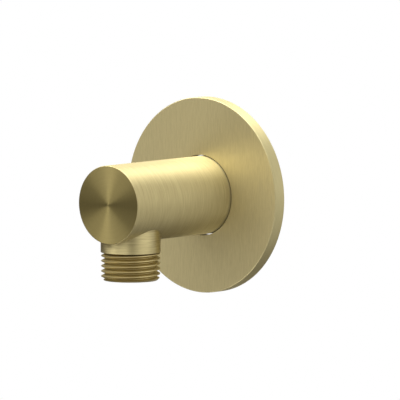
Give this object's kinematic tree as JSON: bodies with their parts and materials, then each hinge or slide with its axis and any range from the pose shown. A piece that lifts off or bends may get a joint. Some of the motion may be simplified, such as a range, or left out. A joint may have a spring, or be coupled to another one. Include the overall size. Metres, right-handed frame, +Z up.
{
  "type": "wall outlet elbow",
  "caption": "Brushed brass wall outlet elbow for a shower hose: a round barrel with a flat end, a round wall flange at its back and a downward pipe-threaded outlet near its front.",
  "frame": {"origin": "on the barrel's axis in the plane of the wall, where the flange's back lies and the inlet thread starts", "axes": "+Y along the barrel's axis into the wall, +Z up, the outlet points down along -Z"},
  "size_m": [0.07, 0.07, 0.07],
  "materials": {
    "flange_brass": "brushed, upright strokes",
    "seal_foam": "closed-cell foam",
    "barrel_brass": "brushed round its axis",
    "nipple_brass": "brushed round its axis, cut thread",
    "connector_brass": "plain turned",
    "ring_rubber": "satin black rubber",
    "screw_steel": "satin stainless steel"
  },
  "bodies": {
    "root": {"wall_flange": "flange_brass", "flange_seal": "seal_foam", "barrel": "barrel_brass", "outlet_nipple": "nipple_brass", "inlet_connector": "connector_brass", "front_o_ring": "ring_rubber", "rear_o_ring": "ring_rubber", "set_screw": "screw_steel"}
  },
  "joints": []
}
